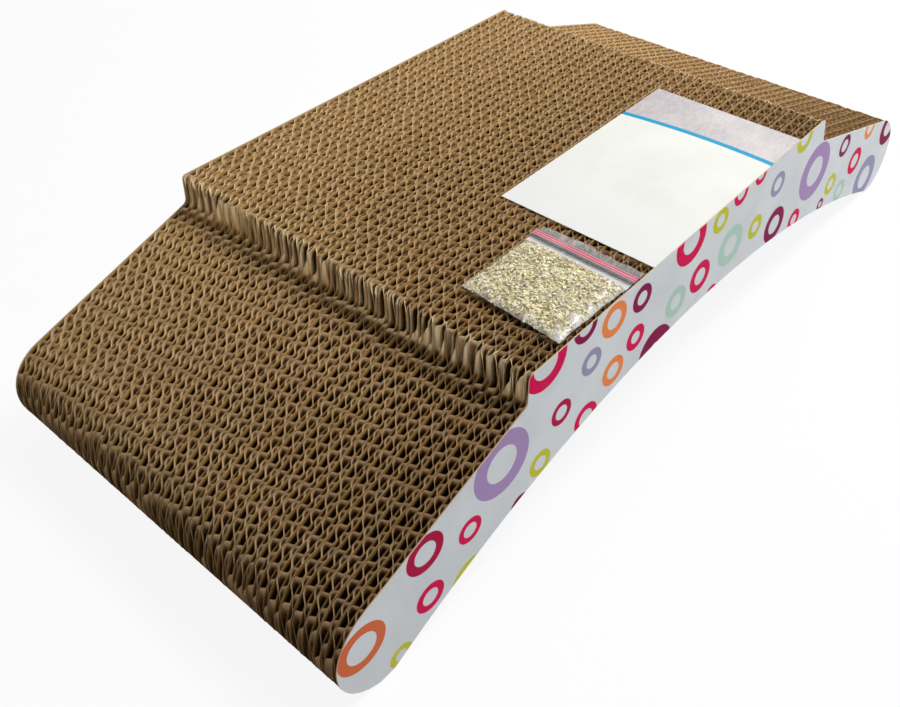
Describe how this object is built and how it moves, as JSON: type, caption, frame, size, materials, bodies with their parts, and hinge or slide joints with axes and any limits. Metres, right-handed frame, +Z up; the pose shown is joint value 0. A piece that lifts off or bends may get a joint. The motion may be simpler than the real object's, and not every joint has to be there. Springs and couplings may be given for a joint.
{
  "type": "cardboard cat scratcher",
  "caption": "Low curved lounge-shaped scratching block of upright corrugated boards with printed covers, a loose leaflet and a small bag of dried catnip on top.",
  "frame": {"origin": "on the floor under the middle of the scratcher", "axes": "+X along the length, +Y across the boards, +Z up"},
  "size_m": [0.474, 0.23, 0.0997],
  "materials": {
    "cardboard": "matt brown kraft paper",
    "printed_paper": "satin white paper printed with coloured rings",
    "leaflet_card": "satin coated card",
    "clear_film": "clear thin film",
    "dried_herb": "dry pale green flakes",
    "zip_strip": "glossy pink strip"
  },
  "bodies": {
    "scratcher": {"printed_cover_near": "printed_paper", "printed_cover_far": "printed_paper", "board_01": "cardboard", "board_02": "cardboard", "board_03": "cardboard", "board_04": "cardboard", "board_05": "cardboard", "board_06": "cardboard", "board_07": "cardboard", "board_08": "cardboard", "board_09": "cardboard", "board_10": "cardboard", "board_11": "cardboard", "board_12": "cardboard", "board_13": "cardboard", "board_14": "cardboard", "board_15": "cardboard", "board_16": "cardboard", "board_17": "cardboard", "board_18": "cardboard", "board_19": "cardboard", "board_20": "cardboard", "board_21": "cardboard", "board_22": "cardboard", "board_23": "cardboard", "board_24": "cardboard", "board_25": "cardboard", "board_26": "cardboard", "board_27": "cardboard", "board_28": "cardboard", "board_29": "cardboard", "board_30": "cardboard", "board_31": "cardboard", "board_32": "cardboard", "board_33": "cardboard", "board_34": "cardboard", "board_35": "cardboard"},
    "leaflet": {"leaflet": "leaflet_card"},
    "catnip_bag": {"bag_back_film": "clear_film", "bag_front_film": "clear_film", "herb_filling": "dried_herb", "zip_groove": "zip_strip", "zip_rib": "zip_strip"}
  },
  "joints": [
    {"name": "leaflet_lift", "type": "slide", "parent": "scratcher", "child": "leaflet", "axis": [0, 0, 1], "range_m": [0, 0.08]},
    {"name": "bag_lift", "type": "slide", "parent": "scratcher", "child": "catnip_bag", "axis": [0, 0, 1], "range_m": [0, 0.08]}
  ]
}
